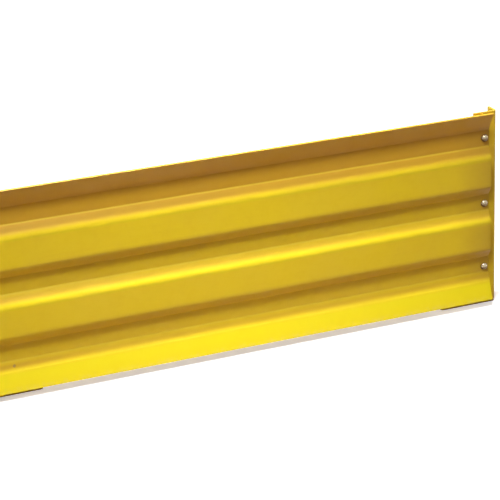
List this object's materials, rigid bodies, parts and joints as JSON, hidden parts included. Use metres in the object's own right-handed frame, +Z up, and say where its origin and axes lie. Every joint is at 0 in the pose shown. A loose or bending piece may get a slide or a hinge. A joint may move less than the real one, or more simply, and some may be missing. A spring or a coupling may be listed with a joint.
{
  "type": "low floor-mounted guard rail",
  "caption": "Low floor-bolted guard: a roll-formed ribbed steel rail with flared lips, bolted to a bent-angle upright on a base plate at each end.",
  "frame": {"origin": "centre of the left base plate's underside, on the floor", "axes": "+X along the rail towards the right upright, +Y away from the rail's working side, +Z up"},
  "size_m": [1.037, 0.144, 0.4],
  "materials": {
    "yellow_coat": "semi-gloss safety yellow powder coat"
  },
  "bodies": {
    "root": {"rail_sheet": "yellow_coat", "left_upright": "yellow_coat", "right_upright": "yellow_coat", "left_base_plate": "yellow_coat", "right_base_plate": "yellow_coat"}
  },
  "joints": []
}
